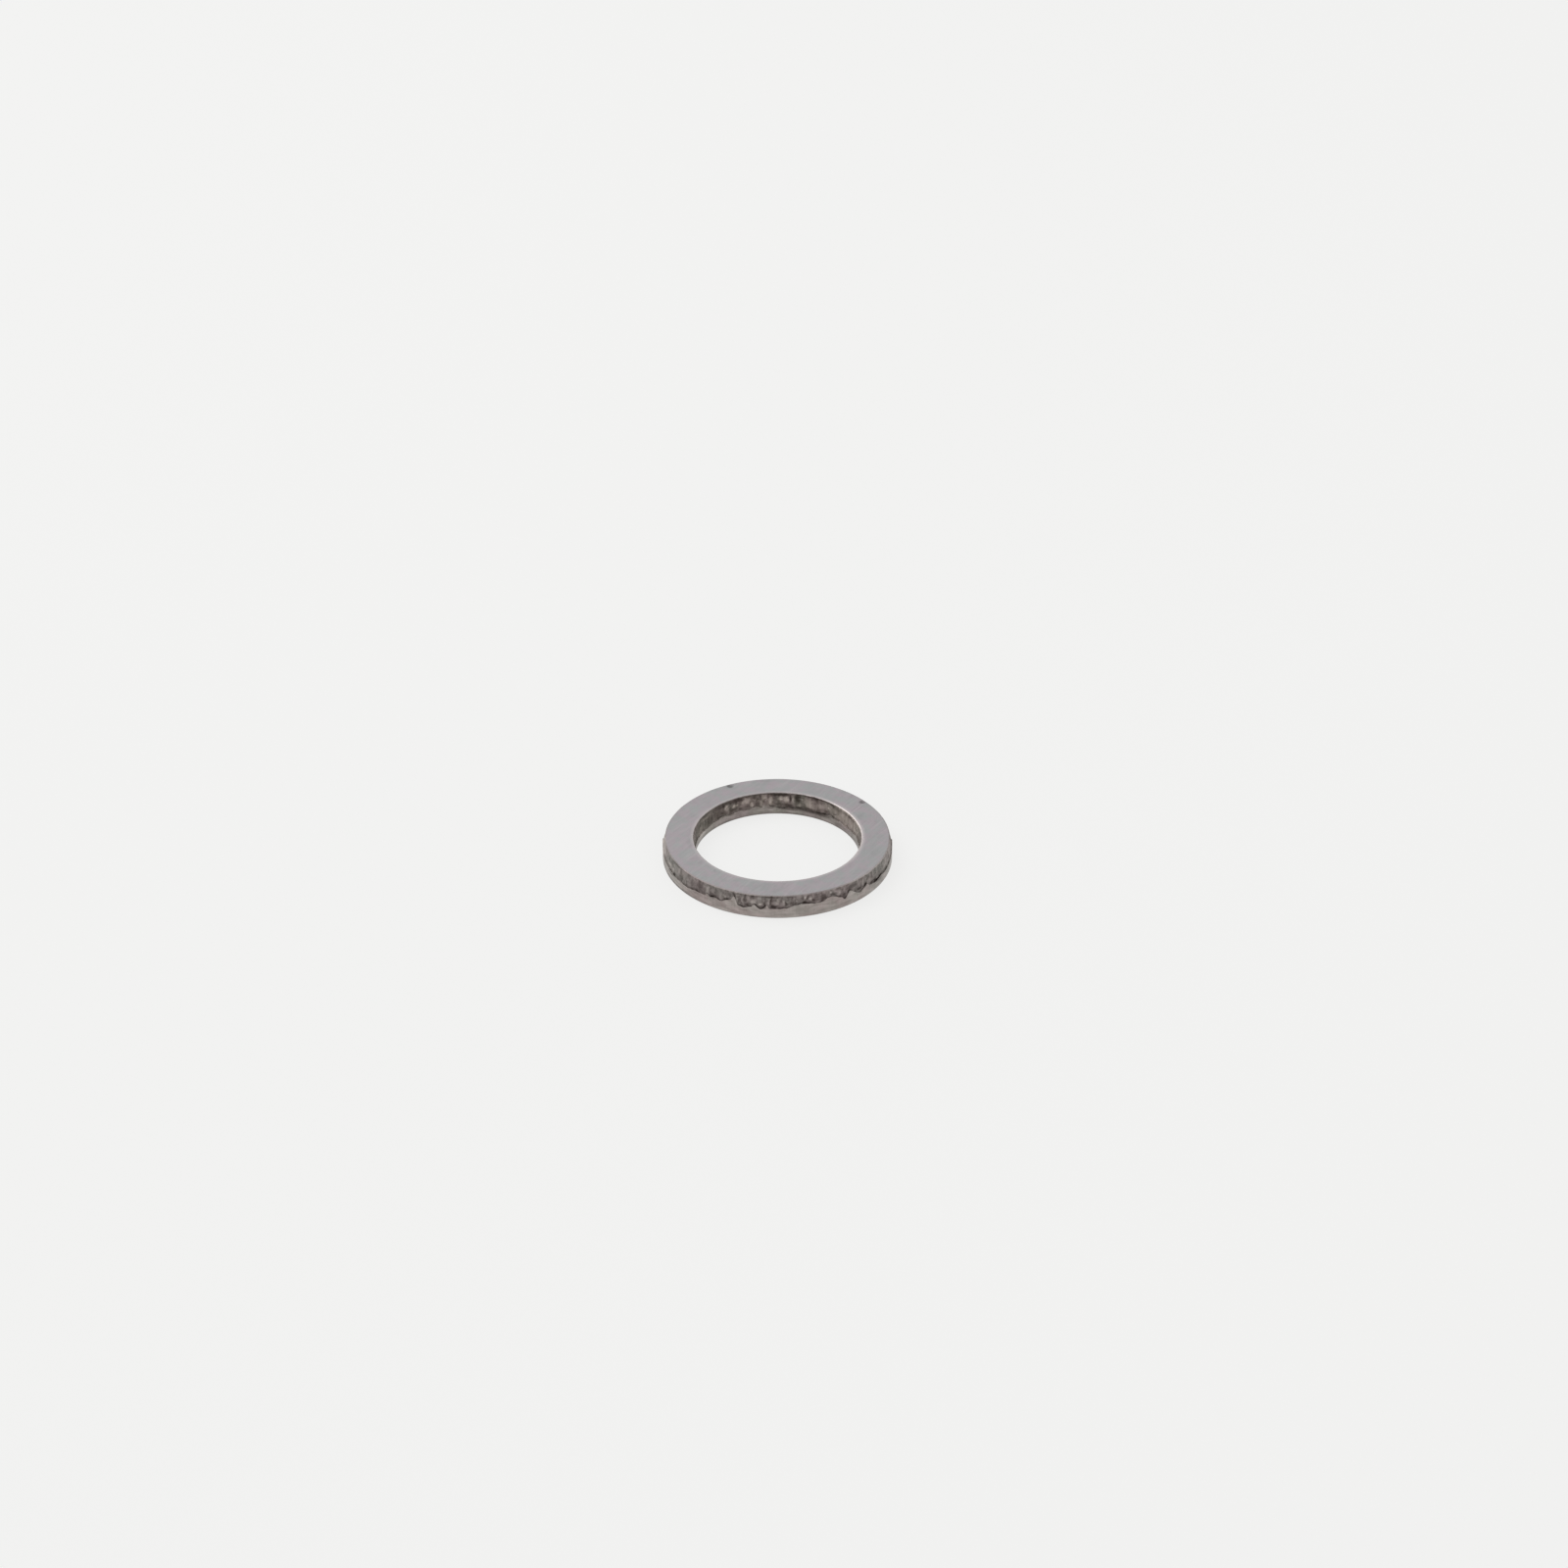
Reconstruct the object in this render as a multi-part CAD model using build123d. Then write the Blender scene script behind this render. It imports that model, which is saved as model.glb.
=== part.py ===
"""Blanked shim ring, lying burr side up.

The ring is punched from steel strip in a compound die, so both walls have the section that shearing
leaves: a rounded die roll at the bottom, a smooth sheared land above it, then a ragged tear line with
a ledge, and a torn zone that leans back to the top face by the gap between punch and die.
Millimetres, +Z up, origin on the bore's axis at the bottom face.
"""
from build123d import *
from math import cos, pi, radians, sin, tan
import os

# Ring
BORE_DIAMETER = 20.0
OUTER_DIAMETER = 28.0
THICKNESS = 3.0

# Sheared lands, up from the bottom face to the usual height of the tear line
OUTER_LAND_HEIGHT = 1.4
BORE_LAND_HEIGHT = 1.1

# Die roll, the rounding of the bottom edges: wide where it leaves the bottom face, tight below the land
OUTER_ROLL_WIDE = 0.35
OUTER_ROLL_TIGHT = 0.14
BORE_ROLL_WIDE = 0.4
BORE_ROLL_TIGHT = 0.15

# Torn zones
OUTER_SETBACK = 0.3         # how far the outer torn wall lies behind its land by the top face
BORE_SETBACK = 0.26
TEAR_STEP = 0.11            # how far a torn wall already lies behind its land at the tear line
LEDGE_FALL = 20.0           # slope of the ledge at the tear line, down towards the torn wall, in degrees
FLUTE_DEPTH = 0.025         # ripple of the torn wall, to each side of its mean
EDGE_BREAK = 0.1            # bright bevel left on the top edges by deburring

# Nicks struck in the top face beside its outer rim
NICK_WIDTH = 0.66
NICK_DEPTH = 0.1
NICK_INSET = 0.38           # from the top face's outer edge to the nick's centre
NICK_ANGLES = (37.3, 116.6)

# Tongues of land above the tear line, and dips below it, as four numbers each: the angle of the peak,
# how many degrees it takes to rise and to fall, and its reach as a share of the torn zone's height
# (or, for a dip, of the land's)
OUTER_TONGUES = (
    (14, 4, 6, -0.15), (27, 3, 3, 0.33), (39, 8, 4, 0.2), (58, 5, 2, 0.62), (74, 7, 7, -0.2),
    (92, 6, 6, 0.3), (108, 3, 3, 0.17), (124, 9, 9, -0.16), (141, 2, 5, 0.52), (158, 5, 5, 0.2),
    (181, 9, 8, 0.75), (216, 24, 17, -0.22), (233, 2, 2, 0.2), (238, 3.5, 4, 0.1), (246, 6, 4, 0.3),
    (248.5, 2.4, 2, 0.6), (253, 3, 3, -0.12), (258.5, 1.8, 1.8, 0.24), (261.7, 1.8, 1.8, -0.14),
    (264.8, 1.8, 1.8, 0.28), (270.5, 4, 3.5, -0.08), (279, 6, 9, 0.28), (288, 9, 8, 0.28),
    (297.5, 7, 8.5, 0.52), (305.3, 2, 1.8, -0.2), (308.6, 2.6, 5, 0.44), (315.7, 3.2, 2.8, -0.22),
    (320.4, 2.4, 2.2, 0.24), (328.5, 6.5, 6, -0.26), (340, 8, 8, -0.2), (1, 7, 7, 0.58),
)
BORE_TONGUES = (
    (18, 7, 9, 0.08), (33, 12, 8, -0.14), (49, 5, 5, 0.1), (66, 12, 14, -0.38), (79, 3, 3, -0.14),
    (87, 6, 5, -0.3), (98.6, 3.2, 3.2, 0.6), (105, 5, 4, 0.14), (116, 4, 4, 0.06), (126, 3, 3, -0.1),
    (134, 5, 5, 0.08), (150, 16, 14, -0.1), (187, 4, 6, 0.18), (204, 8, 8, -0.18), (222, 4, 4, 0.2),
    (240, 7, 7, -0.22), (256, 6, 2, 0.32), (272, 8, 8, -0.18), (289, 4, 4, 0.2), (305, 9, 9, -0.26),
    (321, 2.5, 4, 0.3), (336, 6, 6, -0.2), (352, 5, 8, 0.2),
)

# Small waves on top of the tongues: how many go round the ring, and their share of the torn zone
TEAR_WAVES = ((31, 0.04),)
# Flutes that the tear leaves up the torn walls: how many go round the ring, and their share of the depth
FLUTE_WAVES = ((17, 0.55), (29, 0.45))

SECTORS = 12                # lengths that a torn wall is built in, round the ring
SECTOR_STEPS = 14           # steps of one sector from section to section
OVERRUN = 1.0               # how far the cutters stand clear of the blank

ROLL_TURN = 45              # each of a die roll's two arcs turns half of the corner, in degrees


def roll_extent(longer, shorter):
    """Width of a die roll from its two radii, the wide one first, or its height from the tight one."""
    share = sin(radians(ROLL_TURN))
    return longer * share + shorter * (1 - share)


BORE_RADIUS = BORE_DIAMETER / 2
OUTER_RADIUS = OUTER_DIAMETER / 2
OUTER_ROLL_WIDTH = roll_extent(OUTER_ROLL_WIDE, OUTER_ROLL_TIGHT)
OUTER_ROLL_HEIGHT = roll_extent(OUTER_ROLL_TIGHT, OUTER_ROLL_WIDE)
BORE_ROLL_WIDTH = roll_extent(BORE_ROLL_WIDE, BORE_ROLL_TIGHT)
BORE_ROLL_HEIGHT = roll_extent(BORE_ROLL_TIGHT, BORE_ROLL_WIDE)
BORE_BEVEL = BORE_SETBACK + EDGE_BREAK
OUTER_BEVEL = OUTER_SETBACK + EDGE_BREAK
BEVEL_FOOT = THICKNESS - EDGE_BREAK


def tongue(angle, peak, rise, fall, reach):
    """Reach of one tongue at an angle: a smooth hump that may be steeper on one side."""
    away = (angle - peak + 180) % 360 - 180
    run = fall if away > 0 else rise
    return reach * cos(pi / 2 * away / run) ** 2 if abs(away) < run else 0


def waves(angle, pattern):
    """Sum of sine waves that each close on themselves round the ring."""
    return sum(share * sin(count * radians(angle) + count) for count, share in pattern)


def tear_height(angle, land, roll, tongues):
    """Height of the tear line above the bottom face."""
    reach = sum(tongue(angle, *each) for each in tongues) + waves(angle, TEAR_WAVES)
    room = BEVEL_FOOT - land if reach > 0 else land - roll
    return land + reach * room


def blank():
    """Ring as it would be with sheared lands all the way up to bevelled top edges."""
    with BuildPart() as ring:
        with BuildSketch(Plane.XZ):
            with BuildLine():
                foot = Line((BORE_RADIUS + BORE_ROLL_WIDTH, 0), (OUTER_RADIUS - OUTER_ROLL_WIDTH, 0))
                outer_wide = JernArc(foot @ 1, (1, 0), OUTER_ROLL_WIDE, ROLL_TURN)
                outer_tight = JernArc(outer_wide @ 1, outer_wide % 1, OUTER_ROLL_TIGHT, ROLL_TURN)
                outer_wall = Line(outer_tight @ 1, (OUTER_RADIUS, THICKNESS - OUTER_BEVEL))
                outer_bevel = Line(outer_wall @ 1, (OUTER_RADIUS - OUTER_BEVEL, THICKNESS))
                face = Line(outer_bevel @ 1, (BORE_RADIUS + BORE_BEVEL, THICKNESS))
                bore_bevel = Line(face @ 1, (BORE_RADIUS, THICKNESS - BORE_BEVEL))
                bore_wide = JernArc(foot @ 0, (-1, 0), BORE_ROLL_WIDE, -ROLL_TURN)
                bore_tight = JernArc(bore_wide @ 1, bore_wide % 1, BORE_ROLL_TIGHT, -ROLL_TURN)
                Line(bore_tight @ 1, bore_bevel @ 1)
            make_face()
        revolve(axis=Axis.Z)
    return ring.part


def torn_cutter(radius, outward, setback, land, roll, tongues):
    """Solid of all that the tear takes off one wall. Outward is 1 on the outer wall, -1 in the bore."""
    lean = (setback - TEAR_STEP) / (BEVEL_FOOT - land)
    ledge_slope = tan(radians(LEDGE_FALL))
    top = THICKNESS + OVERRUN

    def section(angle):
        """Corners of the cutter's section as (depth behind the land, height)."""
        tear = tear_height(angle, land, roll, tongues)
        flute = TEAR_STEP + FLUTE_DEPTH * waves(angle, FLUTE_WAVES)
        ledge_width = flute + lean * (tear - land)
        return (
            (-OVERRUN, tear + OVERRUN * ledge_slope),
            (ledge_width, tear - ledge_width * ledge_slope),
            (flute + lean * (top - land), top),
            (-OVERRUN, top),
        )

    walls = []
    # the sectors start half a sector away from the seam of the blank
    for sector in range(SECTORS):
        angles = [(sector + 0.5 + step / SECTOR_STEPS) * 360 / SECTORS for step in range(SECTOR_STEPS + 1)]
        sections = [section(angle) for angle in angles]
        edges = []
        for corner in range(len(sections[0])):
            points = []
            for angle, corners in zip(angles, sections):
                depth, height = corners[corner]
                reach = radius - outward * depth
                points.append((reach * cos(radians(angle)), reach * sin(radians(angle)), height))
            edges.append(Edge.make_spline(points, parameters=angles))
        walls += [
            Face.make_surface_from_curves(low, high) for low, high in zip(edges, edges[1:] + edges[:1])
        ]
    return Solid(Shell(walls))


def nick(angle):
    """Ball that dents the top face to the nick's depth."""
    radius = (NICK_WIDTH ** 2 / 4 + NICK_DEPTH ** 2) / (2 * NICK_DEPTH)
    centre = OUTER_RADIUS - OUTER_BEVEL - NICK_INSET
    return Rot(Z=angle) * Pos(centre, 0, THICKNESS + radius - NICK_DEPTH) * Sphere(radius)


def shim_ring():
    """The finished ring."""
    ring = blank()
    ring -= torn_cutter(OUTER_RADIUS, 1, OUTER_SETBACK, OUTER_LAND_HEIGHT, OUTER_ROLL_HEIGHT, OUTER_TONGUES)
    ring -= torn_cutter(BORE_RADIUS, -1, BORE_SETBACK, BORE_LAND_HEIGHT, BORE_ROLL_HEIGHT, BORE_TONGUES)
    for angle in NICK_ANGLES:
        ring -= nick(angle)
    return ring


os.makedirs("parts", exist_ok=True)
export_step(shim_ring().solids()[0], "parts/shim_ring.step")
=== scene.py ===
"""Dresses the blanked shim ring: its torn walls, nicks and steel, on a pale floor."""
import bpy
from math import cos, pi, radians, sin, sqrt
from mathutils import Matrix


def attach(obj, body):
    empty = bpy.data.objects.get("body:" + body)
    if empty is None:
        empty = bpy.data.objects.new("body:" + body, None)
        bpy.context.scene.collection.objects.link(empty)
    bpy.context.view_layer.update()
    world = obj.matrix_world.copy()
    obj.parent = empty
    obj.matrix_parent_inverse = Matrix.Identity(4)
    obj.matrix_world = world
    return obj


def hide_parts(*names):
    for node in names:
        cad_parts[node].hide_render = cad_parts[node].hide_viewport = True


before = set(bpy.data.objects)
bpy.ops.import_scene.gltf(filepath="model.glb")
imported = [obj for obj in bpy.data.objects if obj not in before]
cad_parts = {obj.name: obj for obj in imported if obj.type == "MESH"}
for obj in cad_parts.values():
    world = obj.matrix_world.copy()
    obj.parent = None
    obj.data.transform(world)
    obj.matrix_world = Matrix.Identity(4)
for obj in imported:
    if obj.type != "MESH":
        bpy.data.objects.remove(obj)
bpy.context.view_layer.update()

MM = 0.001

# Sizes of the ring, in millimetres
BORE_RADIUS = 10.0
OUTER_RADIUS = 14.0
THICKNESS = 3.0
EDGE_BREAK = 0.1            # bevel on the top edges, bright in the bore as a painted highlight
TEAR_STEP = 0.11            # how far a torn wall lies behind its land at the tear line
LEDGE_FALL = 0.04           # how far the ledge falls from the tear line to the torn wall
ROLL_TURN = radians(45)     # turn of each of a die roll's two arcs
OUTER_WALL = {"land": 1.4, "roll wide": 0.35, "roll tight": 0.14, "setback": 0.3}
BORE_WALL = {"land": 1.1, "roll wide": 0.4, "roll tight": 0.15, "setback": 0.26}

# Tongues of land above the tear line, and dips below it: angle of the peak, degrees to rise and to
# fall, and reach as a share of the torn zone's height (or, for a dip, of the land's)
OUTER_TONGUES = (
    (14, 4, 6, -0.15), (27, 3, 3, 0.33), (39, 8, 4, 0.2), (58, 5, 2, 0.62), (74, 7, 7, -0.2),
    (92, 6, 6, 0.3), (108, 3, 3, 0.17), (124, 9, 9, -0.16), (141, 2, 5, 0.52), (158, 5, 5, 0.2),
    (181, 9, 8, 0.75), (216, 24, 17, -0.22), (233, 2, 2, 0.2), (238, 3.5, 4, 0.1), (246, 6, 4, 0.3),
    (248.5, 2.4, 2, 0.6), (253, 3, 3, -0.12), (258.5, 1.8, 1.8, 0.24), (261.7, 1.8, 1.8, -0.14),
    (264.8, 1.8, 1.8, 0.28), (270.5, 4, 3.5, -0.08), (279, 6, 9, 0.28), (288, 9, 8, 0.28),
    (297.5, 7, 8.5, 0.52), (305.3, 2, 1.8, -0.2), (308.6, 2.6, 5, 0.44), (315.7, 3.2, 2.8, -0.22),
    (320.4, 2.4, 2.2, 0.24), (328.5, 6.5, 6, -0.26), (340, 8, 8, -0.2), (1, 7, 7, 0.58),
)
BORE_TONGUES = (
    (18, 7, 9, 0.08), (33, 12, 8, -0.14), (49, 5, 5, 0.1), (66, 12, 14, -0.38), (79, 3, 3, -0.14),
    (87, 6, 5, -0.3), (98.6, 3.2, 3.2, 0.6), (105, 5, 4, 0.14), (116, 4, 4, 0.06), (126, 3, 3, -0.1),
    (134, 5, 5, 0.08), (150, 16, 14, -0.1), (187, 4, 6, 0.18), (204, 8, 8, -0.18), (222, 4, 4, 0.2),
    (240, 7, 7, -0.22), (256, 6, 2, 0.32), (272, 8, 8, -0.18), (289, 4, 4, 0.2), (305, 9, 9, -0.26),
    (321, 2.5, 4, 0.3), (336, 6, 6, -0.2), (352, 5, 8, 0.2),
)
# Small waves of the tear line, and flutes up the torn walls: how many go round, and their share
TEAR_WAVES = ((31, 0.04), (83, 0.014), (131, 0.01))
FLUTE_WAVES = ((17, 0.55), (29, 0.45))
FLUTE_DEPTH = 0.025

# Marks on both walls: angle and height of the middle, half width in degrees, half height, and strength.
# Above 0 most are lumps that the die rubbed light and smooth again, and below 0 most are darker spots,
# which the torn wall also sinks a little deeper. Some are painted light: the band at 8 degrees in the bore
# is a painted highlight on its right rim, and the one at 325 degrees a painted highlight along the outer
# top edge; the bands at 264 degrees outside and 93 degrees in the bore are painted shade under the top
# edges, and the long low ones at 209 degrees outside and 82 degrees in the bore are painted contact shadow
# where the die roll meets the floor, with some oil there
OUTER_MARKS = (
    (183, 2.1, 7.5, 1.0, 1.0), (194, 1.9, 6.0, 0.5, 0.35), (204, 1.72, 6.0, 0.3, 0.4),
    (203, 1.15, 4.0, 0.2, -0.8), (208, 2.85, 8.0, 0.12, -0.35), (209, 0.2, 20.0, 0.24, -0.85),
    (211, 1.45, 5.0, 0.2, -0.15), (210, 2.35, 7.0, 0.45, 0.2), (222.5, 2.0, 0.9, 0.5, -0.35),
    (227.5, 1.85, 3.6, 0.6, -0.28), (226, 1.15, 4.0, 0.15, -0.45), (235, 1.42, 4.0, 0.1, -0.4),
    (232.9, 2.15, 1.1, 0.5, 0.5), (236.6, 1.72, 2.5, 0.28, -0.5), (239, 2.4, 2.4, 0.45, -0.2),
    (243, 2.1, 1.6, 0.3, 0.2), (246, 2.5, 2.0, 0.24, -0.4), (249.3, 2.74, 1.1, 0.24, 0.45),
    (246, 1.1, 4.0, 0.3, 0.3), (249.6, 2.0, 0.6, 0.6, 0.4), (251, 2.1, 0.7, 0.7, -0.5),
    (249.9, 1.6, 1.4, 0.3, 0.35), (252.6, 2.0, 0.5, 0.55, 0.5), (253.8, 2.5, 0.7, 0.5, -0.7),
    (254.9, 1.6, 1.2, 0.24, -0.8), (257.8, 2.65, 0.6, 0.3, -0.55), (258, 2.1, 1.0, 0.3, 0.6),
    (261.6, 1.8, 0.9, 0.16, 0.9), (264, 1.85, 0.7, 0.26, -0.9), (263.2, 1.5, 1.4, 0.13, -0.55),
    (265.8, 2.3, 0.5, 0.4, 0.5), (266.9, 2.3, 0.5, 0.6, -0.8), (268.2, 1.58, 1.8, 0.2, -1.0),
    (270.4, 2.3, 0.8, 0.45, 0.45), (272.2, 2.4, 0.5, 0.4, -0.5), (273.4, 2.1, 0.5, 0.3, 0.4),
    (274.4, 1.9, 0.6, 0.36, -1.0), (277.5, 2.05, 2.0, 0.16, -0.3), (264, 2.8, 16.0, 0.1, -0.5),
    (282.6, 2.6, 0.7, 0.32, -0.6), (283.7, 2.62, 0.5, 0.2, 0.9), (285.1, 2.5, 0.6, 0.32, -0.7),
    (286.5, 2.4, 0.6, 0.26, 0.7), (288, 2.1, 1.0, 0.2, -0.75), (290.4, 2.55, 1.4, 0.45, -0.5),
    (293.5, 2.3, 1.4, 0.3, -0.6), (292.5, 2.02, 2.4, 0.16, -0.35), (297.5, 2.6, 0.7, 0.14, 0.9),
    (299.5, 2.3, 1.8, 0.2, -0.6), (302.5, 2.35, 0.7, 0.4, 0.5), (305.3, 1.7, 1.2, 0.24, -0.75),
    (310, 2.4, 3.2, 0.28, -0.6), (309.6, 1.65, 2.2, 0.3, 0.35), (315, 1.6, 1.8, 0.22, -0.9),
    (317.6, 2.2, 0.9, 0.4, 0.5), (319.8, 1.8, 1.0, 0.3, -0.55), (323, 1.85, 3.0, 0.3, 0.3),
    (326, 1.4, 2.4, 0.16, -0.6), (330.5, 1.12, 4.4, 0.18, -0.85), (344, 1.6, 12.0, 0.3, 0.3),
    (344, 0.55, 9.0, 0.25, 0.2), (341, 2.15, 5.0, 0.4, 0.3), (336.8, 2.7, 1.2, 0.2, -0.35),
    (346, 2.2, 1.7, 0.5, -0.35), (209, 0.72, 11.0, 0.42, 0.3), (351, 2.4, 8.0, 0.8, 0.4),
    (325, 2.97, 24.0, 0.1, 0.75),
)
BORE_MARKS = (
    (160, 1.3, 6.0, 0.5, 0.25), (145, 0.85, 22.0, 0.3, 0.25), (155, 2.8, 4.0, 0.2, -0.4),
    (151.5, 2.1, 0.9, 0.22, -0.5), (151.5, 2.38, 4.0, 0.14, 0.3), (150, 2.84, 6.0, 0.12, -0.4),
    (147, 2.3, 2.4, 0.18, 0.22), (145, 1.8, 7.0, 0.5, -0.3), (134, 2.6, 7.0, 0.3, -0.65),
    (134, 1.8, 5.0, 0.4, -0.35), (128.3, 2.15, 1.9, 0.42, 0.6), (125.2, 2.2, 0.7, 0.4, -0.25),
    (122, 2.0, 2.0, 0.34, 0.2), (120, 2.3, 1.2, 0.2, -0.4), (130.5, 2.4, 1.0, 0.25, -0.45),
    (123, 1.5, 2.6, 0.2, -0.5), (119.5, 2.6, 5.5, 0.26, -0.9), (127, 2.65, 3.0, 0.2, -0.45),
    (112.5, 2.27, 4.0, 0.4, 0.45), (117, 1.4, 1.6, 0.2, -0.35), (111.5, 1.45, 1.6, 0.18, -0.4),
    (108.3, 1.65, 1.4, 0.34, 0.6), (106.5, 2.6, 2.4, 0.3, -0.45), (104, 1.6, 1.6, 0.2, -0.5),
    (102, 2.5, 0.7, 0.4, -0.6), (99.2, 2.4, 2.1, 0.36, 0.6), (96.5, 1.8, 2.4, 0.5, 0.2),
    (101.4, 1.55, 1.3, 0.45, 0.5), (95.2, 1.55, 1.6, 0.4, 0.45), (98.7, 1.65, 1.2, 0.5, -0.4),
    (97, 2.6, 0.5, 0.36, -0.5), (94.6, 2.2, 1.4, 0.36, 0.5), (91.6, 2.3, 1.5, 0.5, -0.5),
    (90.5, 2.72, 4.2, 0.17, -0.75), (89.5, 1.45, 3.4, 0.26, -0.45), (87.6, 2.2, 2.2, 0.3, 0.4),
    (83.8, 2.13, 1.5, 0.42, 0.8), (85, 2.68, 4.0, 0.2, -0.9), (81.2, 2.2, 0.7, 0.5, -0.9),
    (79.2, 2.1, 1.0, 0.34, 0.45), (82, 1.3, 3.0, 0.24, -0.7), (80, 0.88, 9.0, 0.22, -0.85),
    (62, 0.88, 7.0, 0.17, -0.6), (75.4, 2.3, 2.6, 0.55, -0.95), (74.5, 1.5, 1.4, 0.25, 0.3),
    (67.5, 2.0, 3.6, 0.5, 0.5), (62.5, 2.65, 2.4, 0.16, -0.6), (70, 1.15, 9.0, 0.16, -0.5),
    (65, 1.5, 4.0, 0.2, 0.25), (59, 1.9, 3.6, 0.34, 0.3), (60, 2.82, 13.0, 0.12, -0.6),
    (55, 0.95, 6.0, 0.26, -0.85), (52.5, 1.55, 3.0, 0.24, -0.45), (50, 2.1, 6.0, 0.7, 0.3),
    (32, 1.9, 13.0, 0.8, 0.5), (44, 1.5, 5.0, 0.25, 0.25), (35, 1.1, 6.0, 0.24, 0.3),
    (29.5, 2.85, 1.6, 0.12, -0.4), (49, 1.2, 2.6, 0.16, -0.45), (17, 2.0, 7.0, 1.0, 0.4),
    (94, 0.7, 2.6, 0.14, 0.6), (158, 0.7, 6.5, 0.34, 0.6), (93, 2.92, 46.0, 0.16, -0.62),
    (8, 2.9, 41.0, 0.15, 0.95), (82, 0.12, 75.0, 0.24, -0.65),
)
# Colour of the film left on the walls, from greenish below 0 to reddish above: angle of the middle,
# half width and amount
OUTER_FILM = (
    (204, 14, -0.5), (226, 12, 0.7), (245, 12, 0.25), (268, 12, 0.35), (290, 10, 0.35), (304, 6, 0.7),
    (313, 4, -0.3), (335, 18, -0.45),
)
BORE_FILM = (
    (150, 20, -0.5), (115, 13, 0.45), (97, 6, 0.35), (90, 4, -0.4), (82, 3.5, 0.6), (74, 5, -0.3),
    (60, 14, 0.35), (35, 18, 0.45),
)
# Nicks in the top face beside its outer rim: angle and radius of the middle, half length along the
# rim, half width across it and depth
NICKS = ((37.6, 13.24, 0.36, 0.36, 0.1), (116.6, 13.24, 0.38, 0.34, 0.1))
# Stray scratches on the top face, from point to point, with their half width and strength
SCRATCHES = (
    ((10.62, 8.1), (8.72, 5.3), 0.05, 0.5), ((10.9, 7.6), (9.6, 5.75), 0.035, 0.35),
    ((-11.2, 3.4), (-10.1, 5.0), 0.03, 0.3), ((-12.6, -1.5), (-11.9, -0.4), 0.03, 0.25),
    ((3.1, -12.9), (4.4, -11.0), 0.03, 0.22),
)

# Depth of the crevice over the tear line and of the hollows, strength of the tear's grain, and the seed
# of its noises
CREVICE_DEPTH = 0.05
GRAIN = 1.0
SEED = 4.0
STREAK_DEPTH = 0.2          # streaks drawn out along the punch's stroke
PIT_DEPTH = 0.12            # pits and lumps the same in every direction
STRAY_DEGREES = 3.2         # how far a mark's outline strays along the wall
STRAY_HEIGHT = 0.5          # and up or down it

# Rows of the mesh from the middle of the bottom face, up one wall, to the middle of the top face
ROWS = {
    "bottom": 6, "wide roll": 4, "tight roll": 4, "land": 9, "ledge": 4, "torn": 24, "bevel": 3, "top": 9,
}
HALF_ROWS = sum(ROWS.values())
STATIONS = 760
MERGE_DISTANCE = 0.002

# Colours as a screen shows them, from 0 to 255. Pairs go from dark to light, but for the faces' tints,
# which go from greenish to reddish
FACE_TINTS = ((159, 160, 160), (166, 158, 162))
FACE_DULL = (142, 139, 141)
# Painted highlight: a light band on the top face along the bore's rim, stronger towards the right
FACE_HIGHLIGHT_BY_BORE = (196, 188, 188)
FACE_LINES = (138, 135, 136)
FACE_BANDS = (178, 173, 174)
SCRATCH = (112, 108, 110)
# Colour that the nicks are painted darker with, most in their middle
NICK_DARKENING = (82, 80, 79)
OUTER_LAND = ((138, 134, 128), (178, 172, 167))
OUTER_LAND_WARM = ((140, 128, 125), (178, 166, 163))
BORE_LAND = ((117, 113, 107), (162, 157, 150))
BORE_LAND_WARM = ((121, 111, 109), (167, 156, 154))
LAND_RUBBED = (196, 188, 184)
# Darker spots on the lands, and the painted contact shadow along their bottom
LAND_DARK_AND_SHADED = (84, 76, 72)
OUTER_TEAR = ((95, 92, 87), (161, 157, 152))
OUTER_TEAR_WARM = ((99, 88, 86), (164, 153, 151))
BORE_TEAR = ((88, 85, 76), (136, 129, 121))
BORE_TEAR_WARM = ((94, 84, 78), (142, 129, 125))
OUTER_RUBBED = ((168, 160, 154), (204, 196, 191))
# Rubbed lumps in the bore are painted lighter than outside, a painted highlight where the bore gets little
# light
BORE_RUBBED_AND_HIGHLIT = ((172, 162, 152), (222, 210, 202))
# Painted shade in the crevice over the tear line and under the top edges, and the torn walls' darker spots
TEAR_SHADE_AND_DARK = (52, 43, 39)
# Top edges: dull outside, and in the bore painted bright as a painted highlight
EDGE_DULL_TO_HIGHLIT = ((116, 110, 112), (214, 207, 208))
# Darker spots and painted shade on the top edges, as under the bore's back rim
EDGE_DARK_AND_SHADED = (60, 52, 50)
# Painted highlight on the rims, with the rubbed lumps that reach them
EDGE_RUBBED_AND_HIGHLIT = (230, 224, 224)
FLOOR_PAINT = (244, 244, 243)
FLOOR_GLOW = (242, 242, 241)
STUDIO = (242, 242, 242)

# Floor, light and camera, in metres and watts
FLOOR_HALF = 3.0
FLOOR_GLOW_SHARE = 0.86     # how much of the floor's look is its own even glow
STUDIO_LIGHT = 0.8          # light that the surroundings give, where 1 is what the camera sees
LAMP_SIZE = 0.7
LAMP_POWER = 3.0
LAMP_PLACE = (-0.45, 0.25, 0.75)
LENS = 83.25
SENSOR = 36
CAMERA_PLACE = (-0.00006, -0.37684, 0.23399)
CAMERA_TURN = (radians(59.3124), radians(-0.2118), 0)


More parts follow.
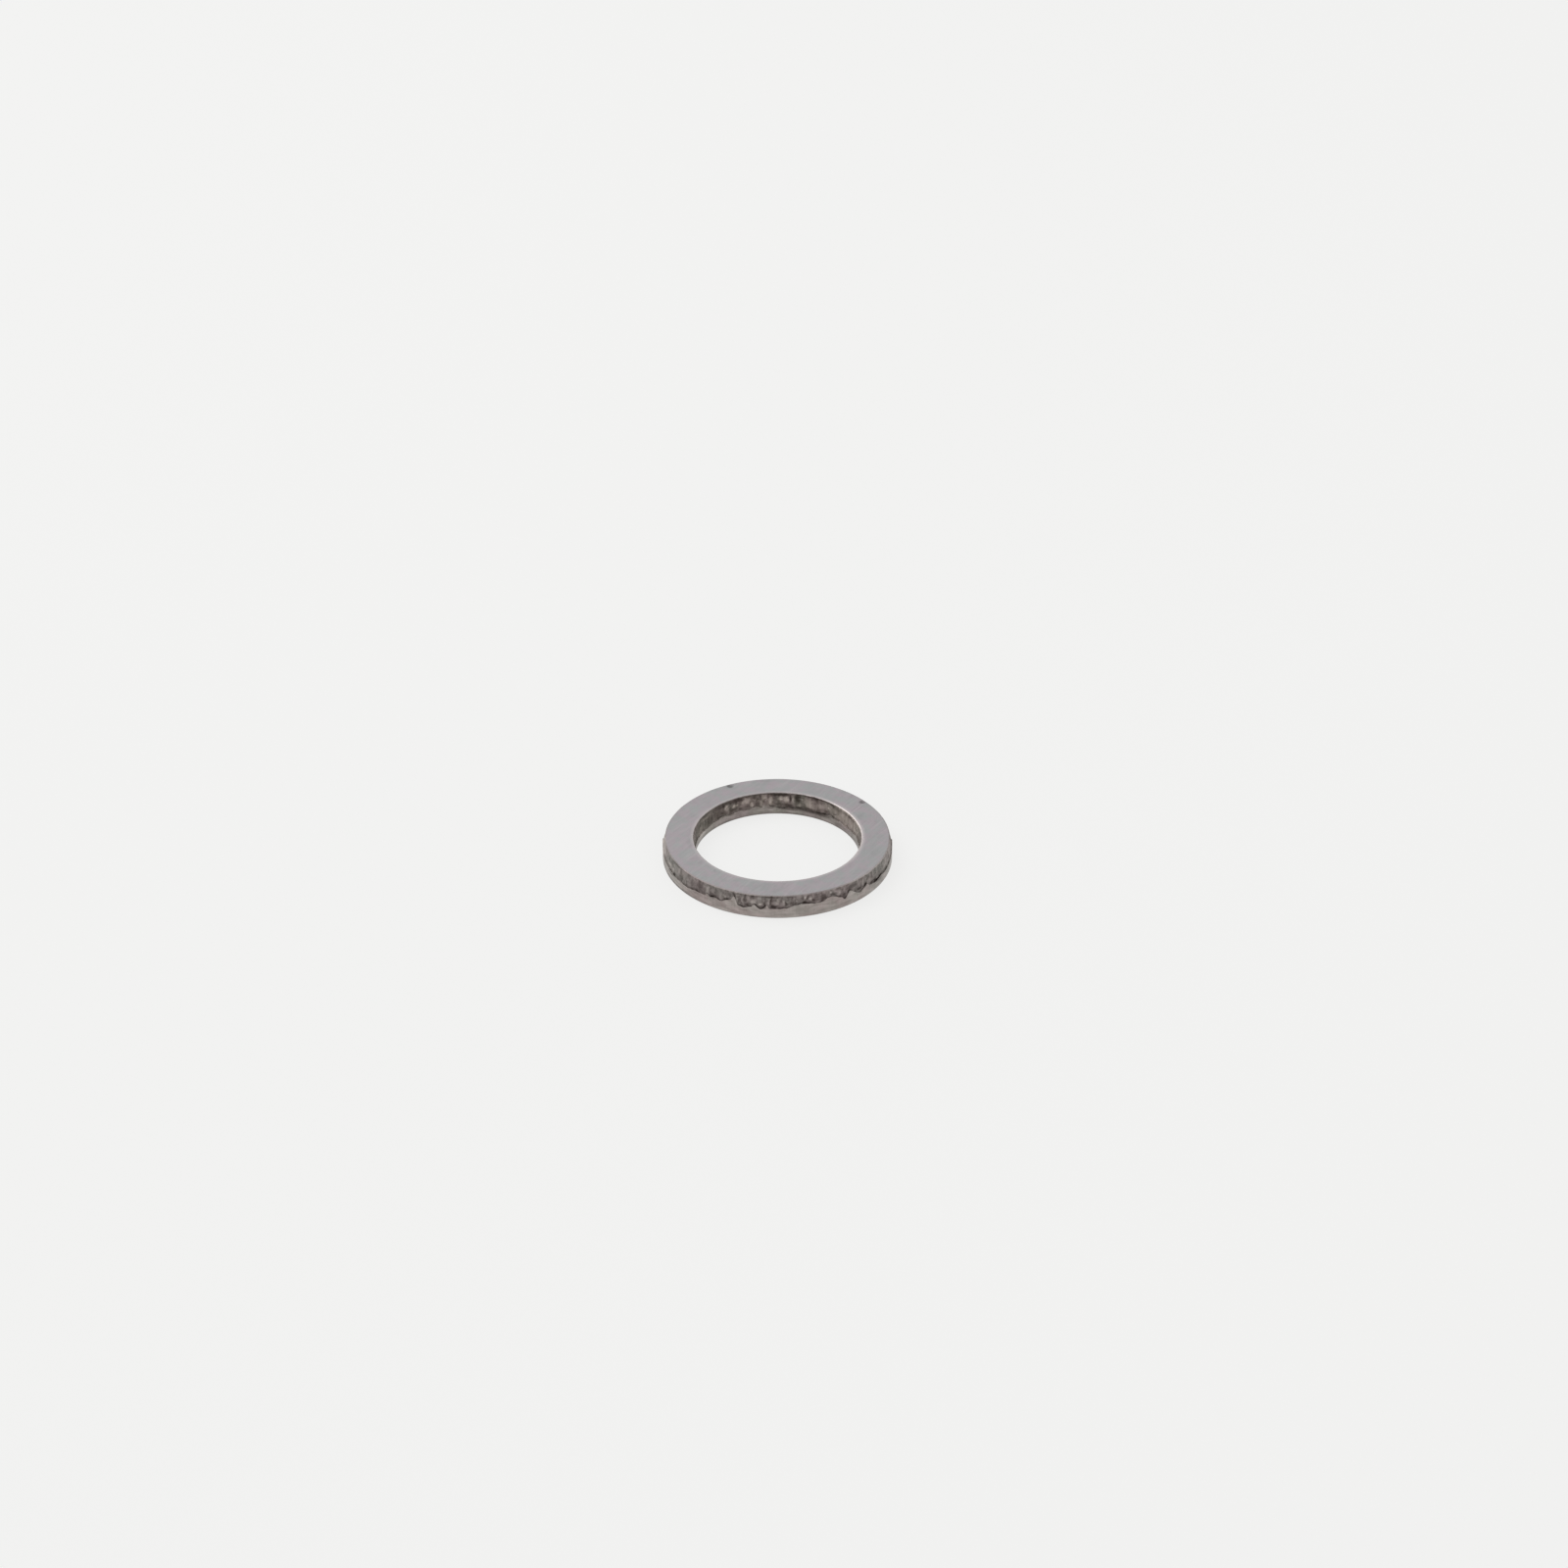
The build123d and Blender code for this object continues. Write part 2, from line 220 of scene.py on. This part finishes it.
class Flow:
    """A value in a node tree. Arithmetic on it adds the nodes that work it out."""

    def __init__(self, tree, socket=None):
        self.tree = tree
        self.socket = socket

    def node(self, kind, settings=None, values=None, output=0):
        """One node of any kind: its settings are set first, then its sockets are filled."""
        made = self.tree.nodes.new(kind)
        for name, value in (settings or {}).items():
            setattr(made, name, value)
        for key, value in (values or {}).items():
            if isinstance(value, Flow):
                self.tree.links.new(value.socket, made.inputs[key])
            else:
                made.inputs[key].default_value = value
        return Flow(self.tree, made.outputs[output])

    def math(self, operation, *operands, **settings):
        """One math node, or a vector math node where an operand is a vector."""
        vector = any(isinstance(each, Flow) and each.socket.type == "VECTOR" for each in operands)
        kind = "ShaderNodeVectorMath" if vector else "ShaderNodeMath"
        if vector:
            operands = [(each,) * 3 if isinstance(each, (int, float)) else each for each in operands]
        return self.node(kind, {"operation": operation, **settings}, dict(enumerate(operands)))

    def __add__(self, other):
        return self.math("ADD", self, other)

    def __radd__(self, other):
        return self.math("ADD", other, self)

    def __sub__(self, other):
        return self.math("SUBTRACT", self, other)

    def __rsub__(self, other):
        return self.math("SUBTRACT", other, self)

    def __mul__(self, other):
        return self.math("MULTIPLY", self, other)

    def __rmul__(self, other):
        return self.math("MULTIPLY", other, self)

    def __truediv__(self, other):
        return self.math("DIVIDE", self, other)

    def __neg__(self):
        return self.math("MULTIPLY", self, -1.0)

    def bounded(self):
        """This value kept between 0 and 1."""
        return self.math("ADD", self, 0.0, use_clamp=True)

    def step(self, low, high, smooth=True):
        """Climbs from 0 to 1 as this value goes from low to high."""
        kind = "SMOOTHSTEP" if smooth else "LINEAR"
        return self.node(
            "ShaderNodeMapRange", {"interpolation_type": kind, "clamp": True}, {0: self, 1: low, 2: high}
        )

    def noise(self, scale=1.0, detail=2.0, roughness=0.5, seed=0.0):
        """Even noise, from 0 to 1, at this place."""
        return self.node(
            "ShaderNodeTexNoise", {"noise_dimensions": "4D"},
            {"Vector": self, "Scale": scale, "Detail": detail, "Roughness": roughness, "W": seed},
        )

    def vector(self, x, y, z):
        """Three numbers as one vector."""
        return self.node("ShaderNodeCombineXYZ", values={0: x, 1: y, 2: z})

    def parts(self):
        """This vector as three numbers."""
        first = self.node("ShaderNodeSeparateXYZ", values={0: self})
        return [Flow(self.tree, each) for each in first.socket.node.outputs]

    def mix(self, other, factor):
        """This colour or number, turning into the other as the factor goes from 0 to 1."""
        if isinstance(other, (int, float)) or isinstance(other, Flow) and other.socket.type == "VALUE":
            return self.node("ShaderNodeMix", {"data_type": "FLOAT"}, {0: factor, 2: self, 3: other})
        return self.node("ShaderNodeMix", {"data_type": "RGBA"}, {0: factor, 6: self, 7: other}, 2)


def colour(red, green, blue):
    """A colour as a screen shows it, from 0 to 255, as the light it stands for."""
    light = []
    for share in (red / 255, green / 255, blue / 255):
        light.append(share / 12.92 if share < 0.04045 else ((share + 0.055) / 1.055) ** 2.4)
    return (*light, 1.0)


# ---------------------------------------------------------------- stations round the ring

def tongue(angle, peak, rise, fall, reach):
    """Reach of one tongue at an angle: a smooth hump that may be steeper on one side."""
    away = (angle - peak + 180) % 360 - 180
    run = fall if away > 0 else rise
    return reach * cos(pi / 2 * away / run) ** 2 if abs(away) < run else 0


def waves(angle, pattern):
    """Sum of sine waves that each close on themselves round the ring."""
    return sum(share * sin(count * radians(angle) + count) for count, share in pattern)


def roll_extent(longer, shorter):
    """Width of a die roll from its two radii, the wide one first, or its height from the tight one."""
    return longer * sin(ROLL_TURN) + shorter * (1 - sin(ROLL_TURN))


def tear_height(angle, wall, tongues):
    """Height of the tear line above the bottom face."""
    reach = sum(tongue(angle, *each) for each in tongues) + waves(angle, TEAR_WAVES)
    land = wall["land"]
    room = THICKNESS - EDGE_BREAK - land
    if reach < 0:
        room = land - roll_extent(wall["roll tight"], wall["roll wide"])
    return land + reach * room


def stations():
    """A loose circle of points that carry what differs from place to place round the ring."""
    angles = [360 * each / STATIONS for each in range(STATIONS)]
    mesh = bpy.data.meshes.new("stations")
    mesh.from_pydata([(cos(radians(angle)), sin(radians(angle)), 0) for angle in angles], [], [])

    def film(angle, patches):
        return sum(tongue(angle, peak, run, run, amount) for peak, run, amount in patches)

    carried = {
        "outer tear": [tear_height(angle, OUTER_WALL, OUTER_TONGUES) for angle in angles],
        "bore tear": [tear_height(angle, BORE_WALL, BORE_TONGUES) for angle in angles],
        "outer film": [film(angle, OUTER_FILM) for angle in angles],
        "bore film": [film(angle, BORE_FILM) for angle in angles],
        "flute": [FLUTE_DEPTH * waves(angle, FLUTE_WAVES) for angle in angles],
    }
    for name, values in carried.items():
        mesh.attributes.new(name, "FLOAT", "POINT").data.foreach_set("value", values)
    return mesh


# ---------------------------------------------------------------- the ring's tree

def ring_tree():
    """Geometry nodes that sweep the sheared section round the stations."""
    tree = bpy.data.node_groups.new("blanked ring", "GeometryNodeTree")
    face = tree.interface
    face.new_socket(name="Stations", in_out="INPUT", socket_type="NodeSocketGeometry")
    face.new_socket(name="Ring", in_out="OUTPUT", socket_type="NodeSocketGeometry")
    names = (
        "Bore radius", "Outer radius", "Thickness", "Edge break", "Tear step", "Ledge fall",
        "Bore setback", "Outer setback", "Bore roll wide", "Outer roll wide", "Bore roll tight",
        "Outer roll tight", "Bore land", "Crevice", "Grain", "Seed",
    )
    for name in names:
        face.new_socket(name=name, in_out="INPUT", socket_type="NodeSocketFloat")
    face.new_socket(name="Steel", in_out="INPUT", socket_type="NodeSocketMaterial")
    group = tree.nodes.new("NodeGroupInput")
    given = {socket.name: Flow(tree, socket) for socket in group.outputs if socket.name}
    g = given["Thickness"]

    # Where each point of the grid lies: its station, and its row up one wall or the other
    count = g.node("GeometryNodeAttributeDomainSize", {"component": "MESH"}, {0: given["Stations"]})
    grid = g.node(
        "GeometryNodeMeshGrid", values={"Vertices X": count + 1.0, "Vertices Y": 2 * HALF_ROWS + 1}
    )
    index = g.node("GeometryNodeInputIndex")
    column = g.math("FLOOR", index / (2.0 * HALF_ROWS + 1) + 0.5 / (2 * HALF_ROWS + 1))
    row = index - column * (2.0 * HALF_ROWS + 1)
    station = g.math("MODULO", column, count)

    def at_station(name, kind="FLOAT"):
        if name == "position":
            value = g.node("GeometryNodeInputPosition")
        else:
            value = g.node("GeometryNodeInputNamedAttribute", {"data_type": kind}, {0: name})
        return g.node(
            "GeometryNodeSampleIndex", {"data_type": kind, "domain": "POINT"},
            {0: given["Stations"], 1: value, 2: station},
        )

    outer = g.math("LESS_THAN", row, HALF_ROWS + 0.5)
    climb = row.mix(2.0 * HALF_ROWS - row, 1 - outer)
    to_axis = at_station("position", "FLOAT_VECTOR")
    tear = at_station("bore tear").mix(at_station("outer tear"), outer)
    flute = at_station("flute")

    def of_wall(name):
        return given["Bore " + name].mix(given["Outer " + name], outer)

    radius = of_wall("radius")
    setback = of_wall("setback")
    wide = of_wall("roll wide")
    tight = of_wall("roll tight")

    # How far the row is through each stretch of the section
    through = {}
    start = 0
    for name, rows in ROWS.items():
        eased = name in ("land", "top", "bottom")
        through[name] = climb.step(float(start), float(start + rows), smooth=eased)
        start += rows

    # The section as depth behind the land and height above the bottom face
    middle = (given["Outer radius"] - given["Bore radius"]) * 0.5
    turn = sin(ROLL_TURN)
    roll_width = wide * turn + tight * (1 - turn)
    roll_height = tight * turn + wide * (1 - turn)
    first = through["wide roll"] * ROLL_TURN
    second = through["tight roll"] * ROLL_TURN + ROLL_TURN
    foot = given["Thickness"] - given["Edge break"]
    ledge = given["Tear step"] + flute
    drop = given["Ledge fall"]
    depth = (
        middle
        + through["bottom"] * (roll_width - middle)
        - wide * g.math("SINE", first)
        - tight * (g.math("SINE", second) - turn)
        + through["ledge"] * ledge
        + through["torn"] * (setback + flute * 0.3 - ledge)
        + through["bevel"] * given["Edge break"]
        + through["top"] * (middle - setback - flute * 0.3 - given["Edge break"])
    )
    height = (
        wide * (1 - g.math("COSINE", first))
        + tight * (turn - g.math("COSINE", second))
        + through["land"] * (tear - roll_height)
        - through["ledge"] * drop
        + through["torn"] * (foot - tear + drop)
        + through["bevel"] * given["Edge break"]
    )
    torn = through["ledge"] * (1 - through["bevel"])
    above = g.math("MAXIMUM", height - tear, 0.0)

    # Grain of the tear, drawn out along the punch's stroke, and the crevice over the tear line, whose mask
    # also carries the painted shade in it
    place = to_axis * radius
    x, y, _ = place.parts()
    stroke = g.vector(x, y, height * 0.35)
    lumps = g.vector(x, y, height)
    flutes = stroke.noise(1.6, 3.0, 0.55, given["Seed"]) - 0.5
    grain = lumps.noise(5.5, 4.0, 0.65, given["Seed"] + 3.0) - 0.5
    gap = lumps.noise(1.1, 3.0, 0.55, given["Seed"] + 9.0).step(0.36, 0.64)
    crevice = g.math("EXPONENT", above * (-9.0 + 6.0 * gap)) * torn * (0.1 + 0.9 * gap)
    crevice = crevice * (0.4 + 0.6 * outer)

    # In the bore the land's tongues have the tone of the tear, and the two tones run into each other
    usual = g.math("MINIMUM", tear, given["Bore land"] + 0.2).mix(tear, outer)
    crevice = crevice * g.math("EXPONENT", (usual - tear) * 5.0)
    toned = ((height - usual) * 2.0 + 0.5 + grain * 1.6).bounded().mix(torn.step(0.1, 0.9), outer)

    # Marks listed in the tables, and a few that come by chance all round
    turned = g.math("ARCTAN2", y, x) * (180 / pi)
    angle = turned + 360.0 * g.math("LESS_THAN", turned, 0.0)
    stray = lumps.noise(1.9, 3.0, 0.6, given["Seed"] + 13.0) - 0.5
    strayed = angle + stray * STRAY_DEGREES
    level = height + (lumps.noise(2.3, 4.0, 0.65, given["Seed"] + 15.0) - 0.5) * STRAY_HEIGHT

    def marked(table):
        """Sum of a wall's marks, each a soft-edged blob."""
        total = 0.0
        for middle_angle, middle_height, half_width, half_height, strength in table:
            across = g.math("PINGPONG", strayed - float(middle_angle), 180.0) / half_width
            up = (level - middle_height) / half_height
            apart = across * across + up * up
            total = g.math("EXPONENT", -(apart * apart)) * strength + total
        return total

    chance = g.vector(x * 0.9, y * 0.9, height * 1.7).noise(1.0, 3.0, 0.55, given["Seed"] + 21.0)
    stray_marks = (chance.step(0.6, 0.72) - (1 - chance.step(0.26, 0.4))) * 0.6 * torn
    marks = marked(BORE_MARKS).mix(marked(OUTER_MARKS), outer) + stray_marks
    rubbed_and_highlit = marks.bounded()
    dark_and_shaded = (-marks).bounded()
    crevice = crevice * (1 - rubbed_and_highlit)

    # Roughness of the torn wall, which dies away by the top edge. Rubbed lumps stand out towards the land
    fade = 1 - 0.75 * g.math("EXPONENT", g.math("MAXIMUM", foot - height, 0.0) * -6.0)
    roughened = (
        (flutes * STREAK_DEPTH + grain * PIT_DEPTH) * given["Grain"] + (crevice + dark_and_shaded) * given["Crevice"]
    ) * torn * (1 - rubbed_and_highlit * 0.85) * fade
    behind = depth + roughened
    behind = behind - rubbed_and_highlit * g.math("MAXIMUM", behind - 0.05, 0.0) * 0.4 * torn * fade

    # Radius and height, and the nicks
    outward = outer * 2.0 - 1.0
    reach = radius - outward * behind
    nicked = None
    for middle_angle, middle_radius, half_length, half_width, sink in NICKS:
        along = (angle - middle_angle) * (middle_radius * pi / 180) / half_length + stray * 0.9
        across = (reach - middle_radius) / half_width + stray * 0.7
        inside = 1 - along * along - across * across
        height = height - inside.step(-0.2, 1.0) * outer * through["bevel"] * sink
        # How far each nick is painted darker, most in its middle
        nick_darkening = inside.step(-1.3, 0.9) * outer * through["bevel"]
        nicked = nick_darkening if nicked is None else nicked + nick_darkening

    # The swept grid, with the masks that its steel reads
    spot = to_axis * reach
    x, y, _ = spot.parts()
    shape = g.node(
        "GeometryNodeSetPosition", values={"Geometry": grid, "Position": g.vector(x, y, height) * MM}
    )
    face_side = through["top"].step(0.0, 0.03, False)
    wall = through["tight roll"] * (1 - face_side)
    masks = {
        "torn": torn,
        "toned": toned * (1 - through["bevel"]),
        "film": at_station("bore film").mix(at_station("outer film"), outer),
        "crevice": crevice,
        "rubbed_and_highlit": rubbed_and_highlit,
        "dark_and_shaded": dark_and_shaded,
        "edge": through["bevel"] * (1 - face_side),
        "nicked": nicked,
        "wall": wall,
        "bore": 1 - outer,
    }
    for name, mask in masks.items():
        shape = g.node(
            "GeometryNodeStoreNamedAttribute", {"data_type": "FLOAT", "domain": "POINT"},
            {"Geometry": shape, "Name": name, "Value": mask},
        )
    shape = g.node(
        "GeometryNodeMergeByDistance", values={"Geometry": shape, "Distance": MERGE_DISTANCE * MM}
    )
    shape = g.node("GeometryNodeSetShadeSmooth", {"domain": "FACE"}, {0: shape})
    shape = g.node("GeometryNodeRealizeInstances", values={0: shape})
    shape = g.node("GeometryNodeSetMaterial", values={"Geometry": shape, "Material": given["Steel"]})
    end = tree.nodes.new("NodeGroupOutput")
    tree.links.new(shape.socket, end.inputs[0])
    return tree


# ---------------------------------------------------------------- steel

def blanked_steel():
    """Rolled strip on the faces, burnished lands, dark oily tears and broken edges, with painted highlights
    on the rims and painted shade in the crevices.
    """
    material = bpy.data.materials.new("blanked_steel")
    material.use_nodes = True
    tree = material.node_tree
    shader = tree.nodes["Principled BSDF"]
    g = Flow(tree)
    place = g.node("ShaderNodeTexCoord", output=3) * (1 / MM)

    def mask(name):
        return g.node("ShaderNodeAttribute", {"attribute_name": name}, output=2)

    torn, crevice, rubbed_and_highlit, edge = mask("torn"), mask("crevice"), mask("rubbed_and_highlit"), mask("edge")
    wall, bore, dark_and_shaded, nicked = mask("wall"), mask("bore"), mask("dark_and_shaded"), mask("nicked")
    toned, film = mask("toned"), mask("film")

    def tone(pair, factor):
        """A colour between the two of a pair."""
        ends = {6: colour(*pair[0]), 7: colour(*pair[1])}
        return g.node("ShaderNodeMix", {"data_type": "RGBA"}, {0: factor, **ends}, 2)

    def drawn_out(turn, length, width, seed, detail=4.0):
        """Noise drawn out along one direction of the strip's faces."""
        along = g.node(
            "ShaderNodeMapping", {"vector_type": "TEXTURE"},
            {"Vector": place, "Rotation": (0, 0, radians(turn)), "Scale": (length, width, 1.0)},
        )
        return along.noise(1.0, detail, 0.6, seed)

    # Faces: the lay of the strip, mottling, a painted highlight band along the bore's rim, stray scratches
    # and the nicks, painted darker
    x, y, z = place.parts()
    lines = drawn_out(56, 3.5, 0.09, 2.0)
    bands = drawn_out(56, 6.0, 0.5, 3.0)
    mottle = place.noise(0.8, 3.0, 0.55, 5.0)
    fine = place.noise(7.0, 3.0, 0.6, 6.0)
    hair = None
    for number, turn in enumerate((56, 12, 139, 83)):
        middle = g.math("ABSOLUTE", drawn_out(turn, 9.0, 0.55, 30.0 + number, 0.0) - 0.5)
        mark = 1 - middle.step(0.0, 0.01, False)
        mark = mark * place.noise(0.3, 1.0, 0.5, 50.0 + number).step(0.56, 0.66)
        hair = mark if hair is None else g.math("MAXIMUM", hair, mark)
    scored = None
    for (x0, y0), (x1, y1), half_width, strength in SCRATCHES:
        length = sqrt((x1 - x0) ** 2 + (y1 - y0) ** 2)
        cosine, sine = (x1 - x0) / length, (y1 - y0) / length
        along = (x - x0) * cosine + (y - y0) * sine
        across = (y - y0) * cosine - (x - x0) * sine + (fine - 0.5) * 0.05
        ends = along.step(-0.1, 0.15 * length) * (length - along).step(-0.1, 0.3 * length)
        mark = (1 - g.math("ABSOLUTE", across / half_width)).step(0.0, 0.8) * ends * strength
        scored = mark if scored is None else g.math("MAXIMUM", scored, mark)
    from_axis = g.math("SQRT", x * x + y * y)
    patch = place.noise(0.5, 4.0, 0.6, 27.0)
    face = tone(FACE_TINTS, mottle.step(0.38, 0.62))
    face = face.mix(colour(*FACE_DULL), patch.step(0.46, 0.7) * 0.4)
    # Painted highlight along the bore's rim, stronger on the right side
    bore_rim_highlight = 1 - from_axis.step(BORE_RADIUS + 0.36, BORE_RADIUS + 0.85)
    face = face.mix(colour(*FACE_HIGHLIGHT_BY_BORE), bore_rim_highlight * (0.4 + 0.4 * (x / BORE_RADIUS).bounded()))
    face = face.mix(colour(*FACE_LINES), lines.step(0.42, 0.8) * 0.45)
    face = face.mix(colour(*FACE_BANDS), bands.step(0.48, 0.7) * 0.38)
    face = face.mix(colour(*SCRATCH), g.math("MAXIMUM", hair * 0.16, scored))
    face = face.mix(colour(*NICK_DARKENING), nicked.step(0.0, 1.0) * 0.66)

    # Lands: faint drag lines along the stroke, and smears and tints round the ring, then rubbed spots,
    # darker spots and, near the bottom, painted contact shadow
    drag = g.vector(x, y, z * 0.05).noise(5.0, 4.0, 0.65, 8.0)
    hoop = g.vector(x * 0.7, y * 0.7, z * 2.4).noise(1.0, 4.0, 0.6, 10.0)
    cloud = g.vector(x * 0.5, y * 0.5, z).noise(0.8, 2.0, 0.5, 11.0)
    smear = drag.step(0.3, 0.7) * 0.25 + hoop.step(0.3, 0.7) * 0.75
    land_warmth = (cloud.step(0.44, 0.64) * 0.6 + 0.2 + film * 0.8).bounded()
    land = tone(OUTER_LAND, smear)
    land = land.mix(tone(OUTER_LAND_WARM, smear), land_warmth)
    bore_land = tone(BORE_LAND, smear)
    bore_land = bore_land.mix(tone(BORE_LAND_WARM, smear), land_warmth)
    land = land.mix(bore_land, bore)
    # Rubbed spots lighten the lands and darker marks darken them; near the bottom these paint the contact
    # shadow, with some oil
    land = land.mix(colour(*LAND_RUBBED), rubbed_and_highlit * 0.7).mix(colour(*LAND_DARK_AND_SHADED), dark_and_shaded * 0.8)

    # Torn zones: streaks along the stroke, lumps, rubbed places, darker spots, and painted shade in the
    # crevice over the tear line and under the top edges
    streak = g.vector(x, y, z * 0.28).noise(2.3, 4.0, 0.62, 14.0)
    lump = place.noise(2.4, 3.0, 0.6, 19.0)
    tint = place.noise(0.35, 2.0, 0.5, 23.0)
    rough_tone = streak.step(0.34, 0.64) * 0.55 + lump.step(0.34, 0.66) * 0.45
    tear = tone(OUTER_TEAR, rough_tone)
    tear_warmth = (tint.step(0.44, 0.56) * 0.5 + 0.25 + film).bounded()
    tear = tear.mix(tone(OUTER_TEAR_WARM, rough_tone), tear_warmth)
    bore_tear = tone(BORE_TEAR, rough_tone)
    bore_tear = bore_tear.mix(tone(BORE_TEAR_WARM, rough_tone), tear_warmth)
    tear = tear.mix(bore_tear, bore * 0.8)
    smooth = tone(OUTER_RUBBED, rough_tone)
    smooth = smooth.mix(tone(BORE_RUBBED_AND_HIGHLIT, rough_tone), bore)
    tear = tear.mix(smooth, rubbed_and_highlit * 0.9)
    # Painted shade in the crevice and under the top edges, with the darker spots
    shade_and_dark = crevice * 0.75 + dark_and_shaded * 0.85
    tear = tear.mix(colour(*TEAR_SHADE_AND_DARK), shade_and_dark.bounded())

    # The finished colours, with the top edges and their painted highlights last, then the roughness and the
    # relief
    base = face.mix(land, wall)
    base = base.mix(tear, toned)
    # Top edges: a painted highlight in the bore, darkened by painted shade under the bore's back rim and
    # lit by the painted highlight on its right rim
    edge_and_highlight = tone(EDGE_DULL_TO_HIGHLIT, bore * 0.8 + mottle * 0.2)
    edge_and_highlight = edge_and_highlight.mix(colour(*EDGE_DARK_AND_SHADED), dark_and_shaded * 0.8)
    edge_and_highlight = edge_and_highlight.mix(colour(*EDGE_RUBBED_AND_HIGHLIT), rubbed_and_highlit * (0.35 + 0.25 * bore))
    base = base.mix(edge_and_highlight, edge * 0.85)

    rough = (0.4 + 0.1 * lines + 0.06 * fine).mix(0.34 + 0.14 * drag, wall)
    rough = rough.mix(0.5 + 0.2 * streak, torn * (1 - rubbed_and_highlit * 0.6))
    rough = rough.mix(0.6 - 0.1 * bore, edge)
    relief = lines * 0.5 + fine * 0.25 - g.math("MAXIMUM", hair, scored) * 0.6
    relief = relief.mix(drag * 0.7 + hoop * 0.4, wall)
    grit = place.noise(9.0, 5.0, 0.7, 17.0)
    relief = relief.mix(grit * 5.0 + streak * 5.0 + lump * 4.0, torn * (1 - rubbed_and_highlit * 0.7))
    bump = g.node("ShaderNodeBump", values={"Strength": 1.0, "Distance": 0.004 * MM, "Height": relief})

    tree.links.new(base.socket, shader.inputs["Base Color"])
    tree.links.new(rough.socket, shader.inputs["Roughness"])
    tree.links.new(bump.socket, shader.inputs["Normal"])
    shader.inputs["Metallic"].default_value = 1.0
    return material


def make_ring(steel):
    """The ring as one plain mesh."""
    tree = ring_tree()
    piece = bpy.data.objects.new("ring", stations())
    bpy.context.scene.collection.objects.link(piece)
    sizes = {
        "Bore radius": BORE_RADIUS, "Outer radius": OUTER_RADIUS, "Thickness": THICKNESS,
        "Edge break": EDGE_BREAK, "Tear step": TEAR_STEP, "Ledge fall": LEDGE_FALL,
        "Bore setback": BORE_WALL["setback"], "Outer setback": OUTER_WALL["setback"],
        "Bore roll wide": BORE_WALL["roll wide"], "Outer roll wide": OUTER_WALL["roll wide"],
        "Bore roll tight": BORE_WALL["roll tight"], "Outer roll tight": OUTER_WALL["roll tight"],
        "Bore land": BORE_WALL["land"], "Crevice": CREVICE_DEPTH, "Grain": GRAIN, "Seed": SEED,
        "Steel": steel,
    }
    sweep = piece.modifiers.new("blanking", "NODES")
    sweep.node_group = tree
    for item in tree.interface.items_tree:
        if item.in_out == "INPUT" and item.name in sizes:
            sweep[item.identifier] = sizes[item.name]
    drawn = piece.evaluated_get(bpy.context.evaluated_depsgraph_get())
    mesh = bpy.data.meshes.new_from_object(drawn)
    mesh.name = "ring"
    piece.modifiers.remove(sweep)
    piece.data = mesh
    return piece


# ---------------------------------------------------------------- floor, light, camera

def seen_rays(g):
    """1 for what the camera sees straight, in metal or through glass, and 0 for the light that falls."""
    rays = g.node("ShaderNodeLightPath").socket.node.outputs
    seen = Flow(g.tree, rays["Is Camera Ray"])
    for name in ("Is Glossy Ray", "Is Transmission Ray"):
        seen = g.math("MAXIMUM", seen, Flow(g.tree, rays[name]))
    return seen


def make_floor():
    """A pale floor that keeps the ring's shadow."""
    mesh = bpy.data.meshes.new("floor")
    half = FLOOR_HALF
    corners = [(-half, -half, 0), (half, -half, 0), (half, half, 0), (-half, half, 0)]
    mesh.from_pydata(corners, [], [(0, 1, 2, 3)])
    floor = bpy.data.objects.new("floor", mesh)
    bpy.context.scene.collection.objects.link(floor)
    material = bpy.data.materials.new("pale_floor")
    material.use_nodes = True
    tree = material.node_tree
    shader = tree.nodes["Principled BSDF"]
    shader.inputs["Base Color"].default_value = colour(*FLOOR_PAINT)
    shader.inputs["Roughness"].default_value = 1.0
    shader.inputs["Specular IOR Level"].default_value = 0.0
    g = Flow(tree)
    glow = g.node("ShaderNodeEmission", values={0: colour(*FLOOR_GLOW), 1: 1.0})
    paint = Flow(tree, shader.outputs[0])
    both = g.node("ShaderNodeMixShader", values={0: seen_rays(g) * FLOOR_GLOW_SHARE, 1: paint, 2: glow})
    tree.links.new(both.socket, tree.nodes["Material Output"].inputs["Surface"])
    mesh.materials.append(material)


def make_light():
    """Even surroundings, and one soft lamp from the back left."""
    world = bpy.data.worlds.new("studio")
    bpy.context.scene.world = world
    world.use_nodes = True
    tree = world.node_tree
    g = Flow(tree)
    background = tree.nodes["Background"]
    background.inputs[0].default_value = colour(*STUDIO)
    strength = seen_rays(g) * (1 - STUDIO_LIGHT) + STUDIO_LIGHT
    tree.links.new(strength.socket, background.inputs[1])
    lamp = bpy.data.lights.new("softbox", "AREA")
    lamp.shape = "SQUARE"
    lamp.size = LAMP_SIZE
    lamp.energy = LAMP_POWER
    holder = bpy.data.objects.new("softbox", lamp)
    holder.location = LAMP_PLACE
    holder.rotation_euler = (-holder.location).to_track_quat("-Z", "Y").to_euler()
    bpy.context.scene.collection.objects.link(holder)


def make_camera():
    """The camera, at the angle that the ring is shown from."""
    lens = bpy.data.cameras.new("camera")
    lens.lens = LENS
    lens.sensor_width = SENSOR
    lens.clip_start = 0.01
    lens.clip_end = 10
    camera = bpy.data.objects.new("camera", lens)
    camera.location = CAMERA_PLACE
    camera.rotation_euler = CAMERA_TURN
    bpy.context.scene.collection.objects.link(camera)
    bpy.context.scene.camera = camera


make_camera()
make_light()
make_floor()
ring = make_ring(blanked_steel())
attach(ring, "root")
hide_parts("shim_ring")
bpy.context.scene.view_settings.view_transform = "Standard"
